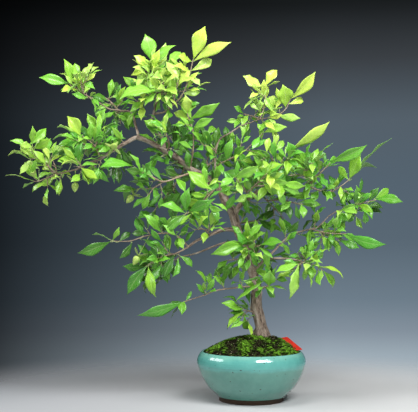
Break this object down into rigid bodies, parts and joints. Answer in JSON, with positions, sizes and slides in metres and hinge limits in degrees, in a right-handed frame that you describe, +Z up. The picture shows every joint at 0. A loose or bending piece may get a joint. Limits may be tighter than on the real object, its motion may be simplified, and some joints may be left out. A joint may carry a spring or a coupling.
{
  "type": "potted princess persimmon bonsai",
  "caption": "Leaning leafy bonsai with hanging green fruits, growing from a mossy mound in a round glazed pot that rests on its foot ring.",
  "frame": {"origin": "middle of the whole plant's box, on the surface that the pot's foot ring rests on", "axes": "+Z up along the pot's turning axis; +X from the long left arm towards the right-hand branches, the plant's longest extent; +Y away from the front, through the thin depth of the crown"},
  "size_m": [0.7238, 0.2558, 0.6865],
  "materials": {
    "glaze": "gloss",
    "bark": "matte",
    "leaf": "satin",
    "fruit": "satin",
    "moss": "matte",
    "soil": "matte",
    "screen": "matte",
    "wire": "satin",
    "tag": "satin"
  },
  "bodies": {
    "root": {"arm_back_spray": "leaf", "canopy_back_spray": "leaf", "canopy_end_spray": "leaf", "canopy_front_spray": "leaf", "canopy_right_spray": "leaf", "canopy_top_spray": "leaf", "canopy_under_spray": "leaf", "crown_back_spray": "leaf", "crown_right_spray": "leaf", "drain_screen": "screen", "far_right_spray": "leaf", "fruit_left": "fruit", "fruit_low": "fruit", "fruit_middle": "fruit", "fruit_upper": "fruit", "hub_spray": "leaf", "leader_back_spray": "leaf", "leader_rear_spray": "leaf", "leader_spur_spray": "leaf", "left_arm": "bark", "left_hanging_spray": "leaf", "left_leader": "bark", "left_middle_spray": "leaf", "left_tip_spray": "leaf", "low_left_branch": "bark", "low_left_tip_spray": "leaf", "low_right_branch": "bark", "low_right_spray": "leaf", "lower_left_spray": "leaf", "lowest_left_spray": "leaf", "middle_back_spray": "leaf", "middle_left_branch": "bark", "middle_left_spray": "leaf", "moss": "moss", "outer_left_spray": "leaf", "plant_tag": "tag", "pot": "glaze", "right_branch": "bark", "right_leader": "bark", "right_low_spray": "leaf", "screen_wire": "wire", "shadow_left_spray": "leaf", "side_twig_spray": "leaf", "soil": "soil", "spur_back_spray": "leaf", "top_crown_spray": "leaf", "top_front_spray": "leaf", "top_leader": "bark", "trunk": "bark", "trunk_back_spray": "leaf", "trunk_front_spray": "leaf", "trunk_low_spray": "leaf", "trunk_right_spray": "leaf", "upper_back_spray": "leaf", "upper_left_spray": "leaf", "upper_right_spray": "leaf", "upper_spur": "bark", "upright_branch": "bark", "upright_low_spray": "leaf", "upright_side_spray": "leaf"}
  },
  "joints": []
}
